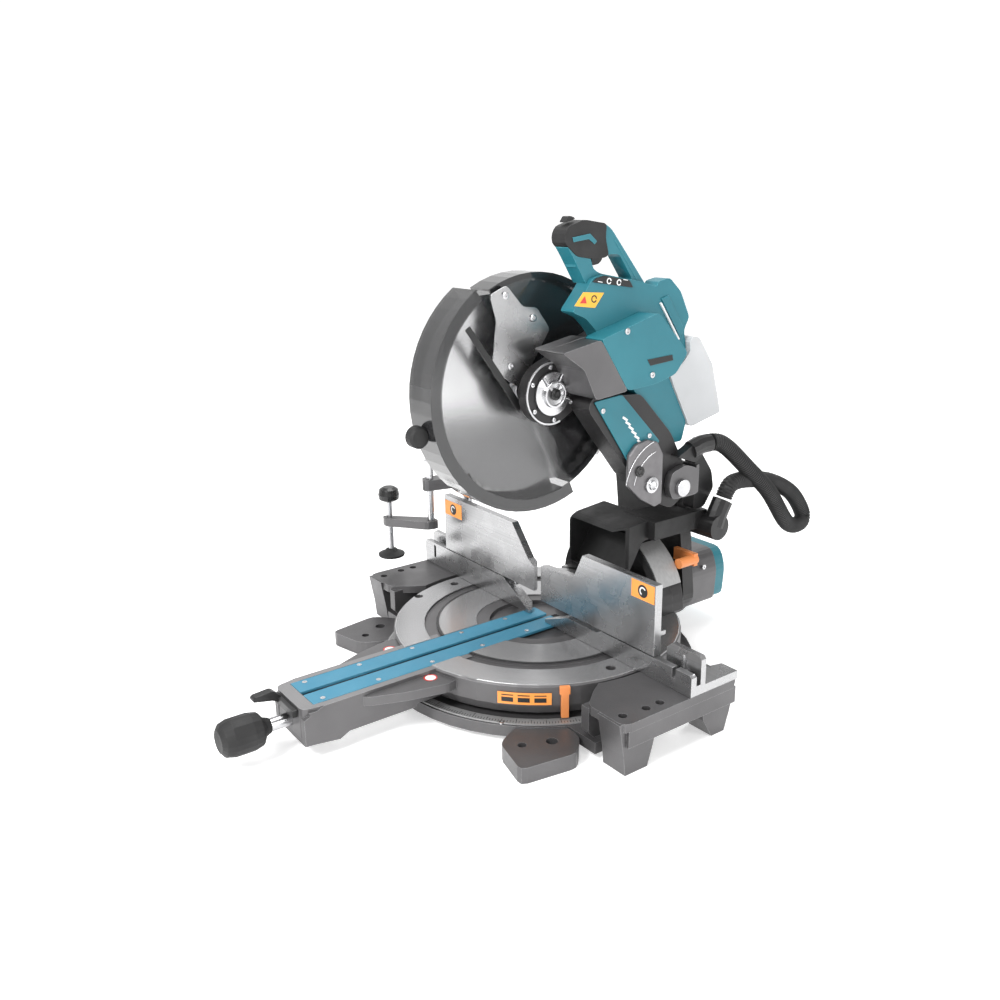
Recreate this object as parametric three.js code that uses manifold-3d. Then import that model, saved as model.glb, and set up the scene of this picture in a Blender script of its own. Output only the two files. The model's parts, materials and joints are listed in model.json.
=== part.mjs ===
// Slide compound mitre saw with a 305 mm blade, head raised, mitre 0 and bevel 0.
// Millimetres. Modelled with the turntable axis at x = y = 0 and the table top at z = 0, +X to the
// right along the fence and -Y towards the operator, then moved so that the object stands on z = 0.
import * as THREE from 'three';
import { mergeVertices } from 'three/addons/utils/BufferGeometryUtils.js';
import Module from 'manifold-3d';

const wasm = await Module();
wasm.setup();

// ---- driving dimensions ----
const tableHeight = 74;        // floor to table top
const tableRadius = 217;
const tableRim = 43;
const ringRadius = 237;        // fixed ring of the base
const wingReach = 317;         // half width of the base
const wingFront = -114;
const wingBack = 88;
const boardHalf = 35;          // half width of both kerf boards
const kerfHalf = 4.5;
const armTip = -408;           // front end of the turntable arm
const fenceThick = 17;
const bladeRadius = 152.5;
const bladeY = -18;
const bladeZ = 357;
const guardRadius = 174;
const upperGuardRadius = 160;
const pivotY = 190;
const pivotZ = 197;
const motorY = 92;
const motorZ = 410;
const railX = -72;
const railRadius = 11;
const lowRailZ = 272;
const highRailZ = 326;

// middle of the bounding box on the table, used to place the finished group
const centre = new THREE.Vector3(-9, -68.5, -tableHeight);

// ---- solids ----
const [alongX, alongY, alongZ] = [[1, 0, 0], [0, 1, 0], [0, 0, 1]].map((v) => new THREE.Vector3(...v));
const basis = {
  x: new THREE.Matrix4().makeBasis(alongY, alongZ, alongX),
  y: new THREE.Matrix4().makeBasis(alongZ, alongX, alongY),
  z: new THREE.Matrix4(),
};

function solid(geometry) {
  const bare = geometry.clone();
  bare.deleteAttribute('normal');
  bare.deleteAttribute('uv');
  const merged = mergeVertices(bare, 1e-4);
  return new wasm.Manifold(new wasm.Mesh({
    numProp: 3,
    vertProperties: Float32Array.from(merged.attributes.position.array),
    triVerts: Uint32Array.from(merged.index.array),
  }));
}

function geometryOf(body) {
  const mesh = body.getMesh();
  const geometry = new THREE.BufferGeometry();
  geometry.setAttribute('position', new THREE.BufferAttribute(Float32Array.from(mesh.vertProperties), 3));
  geometry.setIndex(new THREE.BufferAttribute(Uint32Array.from(mesh.triVerts), 1));
  const flat = geometry.toNonIndexed();
  flat.computeVertexNormals();
  return flat;
}

// outline: corner points, drawn in the plane across the axis, lifted along it from a to b.
// Across x the points are (y, z); across y they are (x, z); across z they are (x, y).
function slab(axis, outline, a, b, holes = []) {
  const turn = ([u, v]) => new THREE.Vector2(...(axis === 'y' ? [v, u] : [u, v]));
  const rim = outline.map(turn);
  if (THREE.ShapeUtils.isClockWise(rim)) rim.reverse();
  const shape = new THREE.Shape(rim);
  for (const hole of holes) shape.holes.push(new THREE.Path(hole.map(turn)));
  const geometry = new THREE.ExtrudeGeometry(shape, { depth: b - a, bevelEnabled: false });
  geometry.translate(0, 0, a);
  geometry.applyMatrix4(basis[axis]);
  return solid(geometry);
}

function box(x0, x1, y0, y1, z0, z1) {
  const geometry = new THREE.BoxGeometry(x1 - x0, y1 - y0, z1 - z0);
  geometry.translate((x0 + x1) / 2, (y0 + y1) / 2, (z0 + z1) / 2);
  return solid(geometry);
}

function circle(u, v, radius, count = 24, from = 0, to = 2 * Math.PI) {
  const whole = to - from > 6.28;
  const points = [];
  for (let i = 0; i < (whole ? count : count + 1); i++) {
    const angle = from + (to - from) * i / count;
    points.push([u + radius * Math.cos(angle), v + radius * Math.sin(angle)]);
  }
  return points;
}

// round bar along an axis; (u, v) is its centre in the same order as slab
function bar(axis, u, v, radius, a, b, count = 24) {
  return slab(axis, circle(u, v, radius, count), a, b);
}

function pipe(axis, u, v, outer, inner, a, b, count = 24) {
  return slab(axis, circle(u, v, outer, count), a, b, [circle(u, v, inner, count)]);
}

// turned piece: profile of [radius, height] turned about an axis through (u, v)
function turned(axis, u, v, profile, count = 24) {
  const points = profile.map(([r, h]) => new THREE.Vector2(r, h));
  const geometry = new THREE.LatheGeometry(points, count);
  geometry.rotateX(Math.PI / 2);
  const flip = solid(geometry);
  const body = flip.volume() < 0 ? solid(geometry.scale(-1, 1, 1)) : flip;
  const place = basis[axis].clone();
  const shift = axis === 'x' ? [0, u, v] : axis === 'y' ? [u, 0, v] : [u, v, 0];
  place.premultiply(new THREE.Matrix4().makeTranslation(...shift));
  return body.transform(place.elements);
}

// corners cut to short arcs
function soften(points, radius, steps = 3) {
  const out = [];
  points.forEach((p, i) => {
    const before = points[(i + points.length - 1) % points.length];
    const after = points[(i + 1) % points.length];
    const la = Math.hypot(before[0] - p[0], before[1] - p[1]);
    const lb = Math.hypot(after[0] - p[0], after[1] - p[1]);
    const r = Math.min(radius, la * 0.45, lb * 0.45);
    const a = [p[0] + (before[0] - p[0]) * r / la, p[1] + (before[1] - p[1]) * r / la];
    const b = [p[0] + (after[0] - p[0]) * r / lb, p[1] + (after[1] - p[1]) * r / lb];
    for (let k = 0; k <= steps; k++) {
      const t = k / steps;
      out.push([0, 1].map((n) => (1 - t) ** 2 * a[n] + 2 * t * (1 - t) * p[n] + t * t * b[n]));
    }
  });
  return out;
}

// the same outline, pushed outwards (or inwards, when negative) all round
function grown(points, by) {
  const turn = Math.sign(points.reduce((sum, [u, v], i) => {
    const [p, q] = points[(i + 1) % points.length];
    return sum + u * q - p * v;
  }, 0));
  const normal = (a, b) => {
    const length = Math.hypot(b[0] - a[0], b[1] - a[1]);
    return [turn * (b[1] - a[1]) / length, -turn * (b[0] - a[0]) / length];
  };
  return points.map((p, i) => {
    const n = normal(points[(i + points.length - 1) % points.length], p);
    const m = normal(p, points[(i + 1) % points.length]);
    const share = by / Math.max(0.3, 1 + n[0] * m[0] + n[1] * m[1]);
    return [p[0] + (n[0] + m[0]) * share, p[1] + (n[1] + m[1]) * share];
  });
}

const mirrored = (points) => points.map(([x, y]) => [-x, y]).reverse();

function join(...bodies) {
  return bodies.reduce((whole, body) => whole.add(body));
}

function cut(body, ...tools) {
  return tools.reduce((left, tool) => left.subtract(tool), body);
}

function tube(points, radius, sides = 10, steps = 40) {
  const curve = new THREE.CatmullRomCurve3(points.map((p) => new THREE.Vector3(...p)));
  const shape = new THREE.Shape(circle(0, 0, radius, sides).map((p) => new THREE.Vector2(...p)));
  return solid(new THREE.ExtrudeGeometry(shape, { extrudePath: curve, steps }));
}

const saw = new THREE.Group();

function piece(name, body, color, roughness, metalness) {
  const material = new THREE.MeshStandardMaterial({ color, roughness, metalness });
  const mesh = new THREE.Mesh(geometryOf(body), material);
  mesh.name = name;
  saw.add(mesh);
}

const teal = 0x25737f;
const paintedGrey = 0x4c4b4d;
const bareMetal = 0xaeb0b2;
const blackPlastic = 0x1d1d1f;

// ---- base: wings, fixed ring, bench feet ----
const wing = soften([
  [250, wingFront], [wingReach - 6, wingFront], [wingReach, wingFront + 8], [wingReach, wingBack],
  [238, wingBack], [232, 60], [206, 40], [206, -50], [226, -84],
], 5, 1);
const legProfile = (y, out) => [
  [y - 34, -0.5], [y + 34, -0.5], [y + 24, -46], [y + 15, -tableHeight], [y - 15 - out, -tableHeight],
  [y - 26, -46],
];
const toe = soften([
  [172, -180], [186, -206], [250, -222], [263, -142], [236, -115], [205, -112], [160, -150],
], 10, 2);
function half(side) {
  const flat = (points) => (side > 0 ? points : mirrored(points));
  const span = (a, b) => (side > 0 ? [a, b] : [-b, -a]);
  const top = slab('z', flat(wing), -12, 0);
  const wall = slab('z', flat([
    [wingReach - 7, wingFront + 8], [wingReach - 0.6, wingFront + 8], [wingReach - 0.6, wingBack - 1],
    [wingReach - 7, wingBack - 1],
  ]), -34, -11);
  const shelf = slab('z', flat([[196, wingFront + 2], [262, wingFront + 2], [262, 62],
    [196, 62]]), -66, -50);
  const cheek = slab('x', [
    [wingFront + 1, -6], [wingFront + 1, -40], [wingFront + 22, -62], [60, -62], [80, -34],
    [wingBack - 1, -6],
  ], ...span(236, 250));
  const legs = [-84, 58].map((y) => slab('x', legProfile(y, y < 0 ? 8 : -6), ...span(272, 312)));
  const toes = slab('z', flat(toe), -tableHeight, -52);
  const holes = [[300, -62], [300, -38], [296, -98]].map(([x, y]) =>
    bar('z', side * x, y, 6, -14, 2, 16));
  const bolts = [bar('z', side * 222, -150, 8, -80, -45, 16), bar('z', side * 206, -186, 6, -80, -45, 16)];
  const pocket = box(...span(250, wingReach - 8), 24, wingBack - 9, -30, 4);
  return cut(join(top, wall, shelf, cheek, ...legs, toes), pocket, ...holes, ...bolts);
}
const ring = pipe('z', 0, 0, ringRadius, 96, -66, -50, 48);
const hubPlate = join(bar('z', 0, 0, 52, -62, -52, 32), box(-206, 206, -14, 14, -64, -54),
  box(-14, 14, -206, 206, -64, -54));
const pivotHole = bar('z', 0, 0, 13.5, -80, -40, 24);
const ringNotch = pipe('z', 0, 0, 190, 120, -57, -40, 32);
piece('base_casting', cut(join(ring, half(1), half(-1), hubPlate), ringNotch, pivotHole,
  bar('z', 0, 0, tableRadius + 8, -49.6, 6, 48)), paintedGrey, 0.5, 0.35);

const scaleArc = (outer, inner) => [
  ...circle(0, 0, outer, 32, -Math.PI / 2 - 1.08, -Math.PI / 2 + 1.19),
  ...circle(0, 0, inner, 32, -Math.PI / 2 - 1.08, -Math.PI / 2 + 1.19).reverse(),
];
piece('mitre_scale', slab('z', scaleArc(234, 219.5), -49.6, -47.6), 0x8f8e8d, 0.45, 0.6);

// ---- lower fence: one casting bolted across both wings ----
const lowerLeft = [
  [-wingReach, 0.4], [-20, 0.4], [-20, 5], [-86, 40], [-wingReach + 4, 40], [-wingReach, 36],
];
const lowerRight = [
  [20, 0.4], [wingReach, 0.4], [wingReach, 27], [wingReach - 4, 30], [146, 30], [136, 25],
  [72, 25], [24, 6], [20, 5],
];
const fenceFoot = (side) => slab('z', (side > 0 ? (p) => p : mirrored)([
  [228, 0], [wingReach, 0], [wingReach, wingBack], [290, wingBack], [276, 30], [228, fenceThick],
]), 0.4, 12);
const endPlate = (side) => slab('y', (side > 0 ? (p) => p : mirrored)([
  [256, 6], [wingReach, 6], [wingReach, 48], [wingReach - 4, 52], [264, 52], [256, 44],
]), fenceThick - 2, fenceThick + 9);
const innerBevel = (side) => slab('z', (side > 0 ? (p) => p : mirrored)([
  [16, 3], [50, fenceThick + 16], [16, fenceThick + 16],
]), -1, 60);
piece('lower_fence_left', cut(
  join(slab('y', lowerLeft, 0, fenceThick), fenceFoot(-1), endPlate(-1)), innerBevel(-1),
  box(-289, -283, -3, 30, 14, 36), box(-330, -60, 9.5, fenceThick + 0.2, 26, 70),
), bareMetal, 0.35, 0.8);
piece('lower_fence_right', cut(
  join(slab('y', lowerRight, 0, fenceThick), fenceFoot(1), endPlate(1)), innerBevel(1),
  box(283, 289, -3, 30, 16, 44), box(60, 330, 9.5, fenceThick + 0.2, 14, 70),
), bareMetal, 0.35, 0.8);

// ---- sliding upper fences ----
const leftFence = [
  [-8, 41], [-8, 81], [-22, 89], [-62, 137], [-252, 137], [-252, 41],
];
const rightFence = [
  [9, 31], [9, 87], [76, 92], [84, 92], [103, 131], [248, 131], [248, 31],
];
function slidingFence(outline, side) {
  const plate = slab('y', outline, 1.2, fenceThick - 4);
  const rib = box(...(side < 0 ? [-252, -64] : [104, 248]), fenceThick - 4.5, fenceThick + 5, 58, 64);
  const edge = slab('z', (side > 0 ? (p) => p : mirrored)([[5, 4], [28, 27], [5, 27]]), 20, 100);
  const foot = side < 0 ? box(-250, -66, 10, 16.6, 30, 41.5) : box(64, 246, 10, 16.6, 18, 31.5);
  return cut(join(plate, rib, foot), edge);
}
piece('fence_left', slidingFence(leftFence, -1), bareMetal, 0.3, 0.85);
piece('fence_right', slidingFence(rightFence, 1), bareMetal, 0.3, 0.85);

// ---- turntable ----
const tableDisc = turned('z', 0, 0, [
  [0, -8], [72, -8], [72, -1.5], [92, -1.5], [92, 0], [153, 0], [153, -4], [171, -4], [171, 0],
  [tableRadius - 3, 0], [tableRadius, -3], [tableRadius, -30], [tableRadius - 6, -tableRim],
  [tableRadius - 12, -tableRim], [tableRadius - 12, -12], [0, -12],
], 48);
const armWalls = [-1, 1].map((side) => {
  const a = side * 36;
  const b = side * 46;
  return join(
    slab('x', [
      [-150, -1], [-380, -1], [armTip, -14], [armTip, -50], [-360, -56], [-346, -49], [-246, -49],
      [-242, -44], [-150, -44],
    ], Math.min(a, b), Math.max(a, b)),
    slab('z', (side > 0 ? (p) => p : mirrored)(soften([
      [40, -196], [78, -190], [84, -214], [70, -272], [52, -318], [40, -330],
    ], 6, 2)), -20, -7),
  );
});
const nose = slab('z', soften([[-46, -376], [46, -376], [40, armTip], [-40, armTip]], 8, 2), -44, -1);
const boardBed = box(-46, 46, -400, -60, -16, -5.4);
const noseLug = slab('x', [[-352, -30], [-402, -40], [-404, -58], [-384, -60], [-350, -46]], -34, 34);
const rearPad = slab('z', [[-24, 58], [24, 58], [94, 128], [94, 176], [-94, 176], [-94, 128]], -30, 26);
const hubStub = bar('z', 0, 0, 24, -49, -9, 32);
const bedSlot = box(-kerfHalf - 3, kerfHalf + 3, -386, 44, -40, 4);
piece('turntable_casting', cut(
  join(tableDisc, ...armWalls, nose, boardBed, noseLug, rearPad, hubStub, bar('y', 0, 0, 46, 120, 176, 32)),
  box(-66, 66, 178, 240, -60, 4),
  box(-boardHalf - 0.4, boardHalf + 0.4, -389.5, 24, -5.4, 6), bedSlot,
  bar('z', 0, 0, 10.4, -60, -20, 20),
  bar('z', 192, -23, 7, -13, 4, 16), bar('z', -192, -23, 7, -13, 4, 16), bar('z', -183, -98, 7, -13, 4, 16),
  bar('y', 0, -30, 9.4, armTip - 4, -370, 20), bar('y', 0, 0, 30.4, 150, 180, 32),
), paintedGrey, 0.42, 0.4);

const boardBox = (side) => (side > 0
  ? box(kerfHalf, boardHalf, -389, 23, -5, -0.5)
  : box(-boardHalf, -kerfHalf, -389, 23, -5, -0.5));
piece('kerf_board_left', boardBox(-1), 0x3a809b, 0.55, 0);
piece('kerf_board_right', boardBox(1), 0x3a809b, 0.55, 0);

const pointerAngle = 61.5 * Math.PI / 180;
const pointer = join(
  box(-5, 5, -tableRadius - 6, -tableRadius - 0.5, -46, -1),
  box(-7, 7, -tableRadius - 6, -tableRadius - 0.5, -12, -0.3),
).rotate([0, 0, pointerAngle * 180 / Math.PI]);
piece('mitre_pointer', pointer, 0xe88a4c, 0.5, 0);
piece('turntable_pivot', join(bar('z', 0, 0, 10, -50, -24, 20), bar('z', 0, 0, 13, -72, -49.7, 24)),
  0x8f9296, 0.3, 0.9);

// ---- mitre lock grip and detent lever ----
const gripAxis = -30;
piece('mitre_grip', turned('y', 0, gripAxis, [
  [0, -504], [15, -504], [22, -499], [25, -488], [25, -462], [22, -450], [13, -444], [10, -436], [0, -436],
], 20), blackPlastic, 0.55, 0);
piece('mitre_lock_rod', bar('y', 0, gripAxis, 9, -435.6, -372, 20), 0x8f9296, 0.35, 0.9);
piece('detent_lever', join(
  slab('x', soften([[armTip - 2, -4], [armTip - 14, 8], [armTip - 40, 6], [armTip - 42, 0],
  [armTip - 14, -6],
    [armTip - 2, -14]], 2, 1), -26, -14),
  box(-30, 30, armTip - 8, armTip - 1, -14, -4),
), blackPlastic, 0.5, 0);

// ---- bevel drum with its scale, fixed to the back of the turntable ----
const drum = slab('y', [
  ...circle(0, 0, 114, 28, 0.006, Math.PI - 0.006),
], 176.4, 199);
const drumSkirt = cut(pipe('y', 0, 0, 114, 100, 150, 178, 48), box(-140, 140, 140, 180, -140, 0.6));
piece('bevel_drum', cut(join(drum, drumSkirt), bar('y', 0, 0, 30.4, 170, 205, 32)), 0x3c3c3e, 0.5, 0.4);
const bevelArcOf = (outer, inner, from, to) => [
  ...circle(0, 0, outer, 20, from, to), ...circle(0, 0, inner, 20, from, to).reverse(),
];
piece('bevel_scale', slab('y', bevelArcOf(116.2, 114.3, 0.38, 1.05), 151, 198), 0xc9c9c6, 0.45, 0.3);

// ---- bevel arm: hub, column, rail brackets ----
const columnFront = [
  [-50, -46], [50, -46], [78, -10], [66, 96], [50, 182], [-8, 205], [-38, 240], [-44, 350], [-100, 350],
  [-100, 246], [-84, 150], [-74, 60], [-78, -10],
];
const armColumn = slab('y', soften(columnFront, 10, 2), 238.5, 262);
const armHub = join(bar('y', 0, 0, 47, 199.6, 240, 32), bar('y', 0, 0, 30, 152, 205, 32));
const railBoss = (z) => bar('y', railX, z, 20, 228, 285, 24);
piece('bevel_arm', cut(
  join(armColumn, armHub, railBoss(lowRailZ), railBoss(highRailZ)),
  bar('y', railX, lowRailZ, railRadius + 0.3, 200, 276, 24),
  bar('y', railX, highRailZ, railRadius + 0.3, 200, 276, 24),
), 0x3f3f42, 0.45, 0.4);
piece('rail_lower', bar('y', railX, lowRailZ, railRadius, -70, 275, 24), 0xc9ccd0, 0.15, 1);
piece('rail_upper', bar('y', railX, highRailZ, railRadius, -70, 275, 24), 0xc9ccd0, 0.15, 1);
piece('rail_end', cut(
  slab('y', soften([[railX - 20, 256], [railX + 20, 256], [railX + 20, 342], [railX - 20, 342]],
  16, 3), -84, -60),
  bar('y', railX, lowRailZ, railRadius + 0.3, -70.4, -50, 24),
  bar('y', railX, highRailZ, railRadius + 0.3, -70.4, -50, 24),
), 0x3f3f42, 0.5, 0.4);

const housing = soften([[-58, -38], [58, -38], [62, 20], [50, 52], [-50, 52], [-62, 20]], 12, 3);
piece('rear_housing', slab('y', housing, 262.4, 332), 0x4a4a4c, 0.55, 0.1);
const capProfile = soften([[-56, -36], [56, -36], [60, 20], [48, 50], [-48, 50], [-60, 20]], 14, 3);
piece('rear_cap', slab('y', capProfile, 332.4, 354), teal, 0.5, 0);

// dust nozzle behind the blade, open at the front, and the duct to the hose elbow
const nozzleOuter = slab('x', soften([
  [93, 60], [93, 134], [106, 141], [166, 147], [172, 142], [172, 118], [140, 114], [108, 60],
], 5, 2), -34, 80);
const nozzleInner = slab('x', [
  [70, 64], [70, 127], [104, 137], [160, 143], [168, 122], [138, 118], [105, 64],
], -30, 76);
const duct = box(30, 96, 150, 236.4, 118, 146);
const ductInner = join(box(40, 92, 156, 228, 122, 142), box(74, 92, 220, 240, 122, 142));
const mouthSlant = slab('z', [[50, 83], [110, 143], [110, 40], [50, 40]], 50, 150);
piece('dust_nozzle', cut(join(nozzleOuter, duct), nozzleInner, ductInner, mouthSlant), 0x1b1b1d, 0.6, 0);
const portAxis = [262, 122];
piece('dust_elbow', cut(join(
  bar('x', ...portAxis, 20, 70, 124, 24), box(70, 96, 236.8, 262, 118, 146),
  tube([[110, 262, 122], [110, 270, 141], [110, 281, 160]], 16, 12, 4),
), bar('x', ...portAxis, 16, 74, 119, 24), box(74, 90, 228, 262, 124, 140)), 0x19191b, 0.55, 0);
piece('bevel_pointer', join(
  bar('y', 99, 70, 8, 200, 238, 16), box(60, 104, 230, 238, 60, 80),
), 0xe8843c, 0.5, 0);
piece('column_cover', slab('x', soften([
  [238.8, 148], [238.8, 246], [242, 250], [276, 204], [282, 176], [262, 148],
], 5, 2), 67, 89), 0x2a2a2c, 0.5, 0.1);
piece('bevel_lever', join(bar('y', 0, 0, 9, 354.4, 364, 16),
  box(-62, 4, 356, 363, -6, 6), bar('x', 359.6, 0, 5, -86, -56, 12)), blackPlastic, 0.5, 0);

// ---- carriage: runs on both rails and forks round the head pivot ----
const carriageBack = slab('y', soften([
  [-98, 250], [-50, 248], [-20, 222], [40, 194], [40, 181], [56, 181], [56, 228], [20, 256],
  [-42, 304], [-44, 350],
  [-98, 350],
], 6, 2), 176, 226);
const lug = (a, b) => slab('x', soften([[164, 200], [169, 222], [198, 230], [222, 222],
  [226, 181], [196, 180.6],
  [172, 181]], 7, 3), a, b);
piece('carriage', cut(
  join(carriageBack, lug(40, 56), lug(97, 108), box(42, 108, 221, 226.5, 183, 226),
    bar('y', railX, lowRailZ, 19, 168, 227, 24), bar('y', railX, highRailZ, 19, 168, 227, 24)),
  bar('y', railX, lowRailZ, railRadius + 0.4, 160, 230, 24),
  bar('y', railX, highRailZ, railRadius + 0.4, 160, 230, 24),
  bar('x', pivotY, pivotZ, 9.4, 30, 120, 20),
), 0x8d8f92, 0.35, 0.85);
piece('pivot_pin', join(bar('x', pivotY, pivotZ, 9, 38, 109, 20),
  bar('x', pivotY, pivotZ, 13, 108.4, 114, 20)),
  0xb9bcc0, 0.25, 1);

// ---- head: arm, drive housings, guard, handle ----
const armOutline = soften([
  [214, 182], [218, 206], [176, 280], [112, 346], [22, 352], [14, 336], [100, 226], [150, 178], [182, 163],
], 8, 2);
piece('head_arm', cut(slab('x', armOutline, 57, 96), bar('x', pivotY, pivotZ, 9.4, 50, 100, 20),
  slab('x', [[118, 236], [150, 262], [96, 330], [46, 334]], 61, 91.5), box(50, 62, 60, 90, 300, 320),
), 0x333335, 0.5, 0.35);
piece('arm_plate', slab('x', soften([[23, 346], [74, 350], [151, 272], [97, 239]], 4, 2), 96.4, 99),
  teal, 0.45, 0);

const driveHull = (r1, r2) => {
  const dy = motorY - bladeY;
  const dz = motorZ - bladeZ;
  const lean = Math.atan2(dz, dy);
  const spread = Math.acos((r1 - r2) / Math.hypot(dy, dz));
  return [
    ...circle(motorY, motorZ, r2, 12, lean - spread, lean + spread),
    ...circle(bladeY, bladeZ, r1, 16, lean + spread, lean + 2 * Math.PI - spread),
  ];
};
piece('belt_case', cut(
  join(slab('x', driveHull(44, 36), 40, 56.6), bar('x', bladeY, bladeZ, 27, 27, 41, 28)),
  slab('x', driveHull(39, 30), 44, 54), bar('x', bladeY, bladeZ, 17.4, 20, 46, 28),
  bar('x', motorY, motorZ, 8, 53, 60, 20), slab('x', grown(armOutline, 0.4), 56, 96.4),
), 0x4b4b4d, 0.45, 0.4);
piece('drive_belt', cut(slab('x', driveHull(37.4, 26.4), 45.5, 52.5),
  slab('x', driveHull(34.4, 23.4), 40, 60)),
  0x111112, 0.7, 0);
piece('spindle', join(
  bar('x', bladeY, bladeZ, 8, -16, 53.4, 20), bar('x', bladeY, bladeZ, 12, 9, 44, 20),
  bar('x', bladeY, bladeZ, 24, 1.6, 9.6, 28), bar('x', bladeY, bladeZ, 34, 45.4, 52.6, 32),
), 0xa9abae, 0.25, 1);
piece('motor_rotor', join(
  bar('x', motorY, motorZ, 6, 46, 111, 16), bar('x', motorY, motorZ, 22, 72, 104, 24),
  bar('x', motorY, motorZ, 23, 45.4, 52.6, 24),
), 0x6b4b34, 0.4, 0.8);
piece('motor_stator', pipe('x', motorY, motorZ, 37, 23, 70, 106, 28), 0x55402f, 0.5, 0.7);
const motorRoom = bar('x', motorY, motorZ, 38, 66, 112, 28);
const bodyOutline = soften([
  [-4, 467], [22, 497], [30, 509], [49, 513], [118, 500], [150, 491], [153, 498], [175, 502], [198, 482],
  [218, 444], [208, 426], [214, 396], [200, 381], [150, 357], [60, 353.6], [46, 428], [38, 440], [20, 457],
], 5, 2);
piece('head_housing', cut(slab('x', bodyOutline, 57, 83), motorRoom,
  bar('x', motorY, motorZ, 8, 50, 70, 20)),
  teal, 0.5, 0);
const motorCase = soften([[17, 433], [64, 445], [121, 460], [181, 400], [158, 372], [122, 363],
  [67, 359]], 6, 2);
piece('motor_housing', cut(slab('x', motorCase, 83.4, 118), motorRoom), teal, 0.5, 0);
const gearFace = soften([[-49, 421], [16.4, 432.6], [66.2, 358.8], [9, 353.4], [-12, 396]], 5, 2);
piece('gear_housing', join(slab('x', gearFace, 83.4, 118), slab('x', soften([
  [-49, 421], [16, 433], [45, 427.6], [58.6, 356], [9, 353.4], [-12, 396],
], 5, 2), 57.2, 83.4)), 0x6a696b, 0.4, 0.6);

// ring sector of a disc in the blade plane, angles in degrees from +Y towards +Z
const sector = (outer, inner, from, to, a, b, count = 28) => slab('x', [
  ...circle(bladeY, bladeZ, outer, count, from * Math.PI / 180, to * Math.PI / 180),
  ...circle(bladeY, bladeZ, inner, count, from * Math.PI / 180, to * Math.PI / 180).reverse(),
], a, b);
piece('upper_guard', cut(join(
  sector(upperGuardRadius, 28, -66, 118, -24, -21), sector(upperGuardRadius, 28, -66, 118, 17, 20),
  sector(upperGuardRadius, upperGuardRadius - 3, -66, 118, -24, 20),
  sector(150, 90, -46, -6, 19, 36), box(26, 56.6, 84, 118, 290, 340),
), slab('x', grown(armOutline, 0.4), 56.4, 100)), 0x2b2b2d, 0.4, 0.2);
piece('guard_plate', slab('x', soften([
  [-98, 492], [-71, 503], [-44, 473], [-21, 471], [2, 440], [-50, 366], [-64, 372], [-96, 396], [-88, 458],
], 5, 2), 27, 29), 0xa6a7a9, 0.35, 0.7);
piece('lower_guard', cut(join(
  sector(guardRadius, 20.4, 125, 293, -28.4, -26.4), sector(guardRadius, 28, 125, 293, 23, 25),
  sector(guardRadius, guardRadius - 3, 125, 293, -28.4, 25),
  pipe('x', bladeY, bladeZ, 38, 27.6, 22, 25, 32),
)), 0x2a2a2b, 0.25, 0);
const rollerSpot = [bladeY + 186 * Math.cos(3.38), bladeZ + 186 * Math.sin(3.38)];
piece('guard_roller', turned('x', ...rollerSpot, [[0, -9], [12, -9], [15, -6], [15, 6], [12, 9], [0, 9]], 20)
  .subtract(bar('x', bladeY, bladeZ, guardRadius + 0.4, -40, 40, 96)), 0x161617, 0.7, 0);

// ---- blade and its flanges ----
const teeth = [];
for (let i = 0; i < 48; i++) {
  const a = i * Math.PI / 24;
  const root = bladeRadius - 6.5;
  teeth.push([bladeY + bladeRadius * Math.cos(a), bladeZ + bladeRadius * Math.sin(a)]);
  teeth.push([bladeY + root * Math.cos(a + 0.03), bladeZ + root * Math.sin(a + 0.03)]);
}
piece('blade', cut(slab('x', teeth, -1.2, 1.2), bar('x', bladeY, bladeZ, 8.4, -4, 4, 20)), 0xc9cbcd, 0.2, 1);
piece('blade_bolt', cut(join(bar('x', bladeY, bladeZ, 12, -20, -6, 6),
  bar('x', bladeY, bladeZ, 24, -7, -1.6, 28)),
  bar('x', bladeY, bladeZ, 8.4, -16.4, 0, 20)),
  0x3a3a3c, 0.4, 0.9);

// ---- D handle, switch panel, trigger, lock-off ----
const handleLoop = soften([
  [26, 500], [2, 538], [-11, 556], [-11, 566], [-5, 575], [20, 583], [60, 577], [70, 570], [113, 520],
  [152, 474], [140, 466], [40, 486],
], 8, 2);
const fingerGap = soften([[31, 538], [38, 520], [50, 514], [110, 502], [84, 538]], 5, 2);
const gripOutline = soften([
  [8, 538], [-12, 555], [-12, 567], [-6, 576], [20, 584], [60, 578], [58, 560], [64, 538], [58, 534],
  [32, 534],
], 5, 2);
const gripCore = join(box(54, 72, -2, 68, 546, 568), box(54, 72, 9, 28, 524, 550));
piece('handle', cut(
  join(cut(slab('x', handleLoop, 50, 76), slab('x', fingerGap, 40, 90),
    slab('x', grown(gripOutline, 0.4), 40, 90)), gripCore),
  slab('x', grown(bodyOutline, 0.4), 40, 90),
), teal, 0.5, 0);
piece('handle_grip', cut(slab('x', gripOutline, 49, 77), box(53.6, 72.4, -2.4, 90, 545.6, 568.4),
  box(53.6, 72.4, 8.6, 28.4, 500, 552), box(56.4, 69.6, 40, 61, 520, 547),
), 0x1c1c1e, 0.65, 0);
piece('switch_panel', slab('x', [[29, 504], [36, 509], [50, 511.6], [96, 503], [103, 492.6]], 83.4, 85),
  0x19191b, 0.4, 0);
piece('trigger', slab('x', soften([[41, 524], [54, 526], [60, 532], [60, 540], [41, 540]], 3, 2), 57, 69),
  0x141415, 0.5, 0);
piece('lock_off', slab('x', soften([[-6, 580.4], [0, 589], [7, 588], [12, 585], [3, 582.4]],
  1.5, 1), 57, 69),
  0x141415, 0.5, 0);

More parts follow.
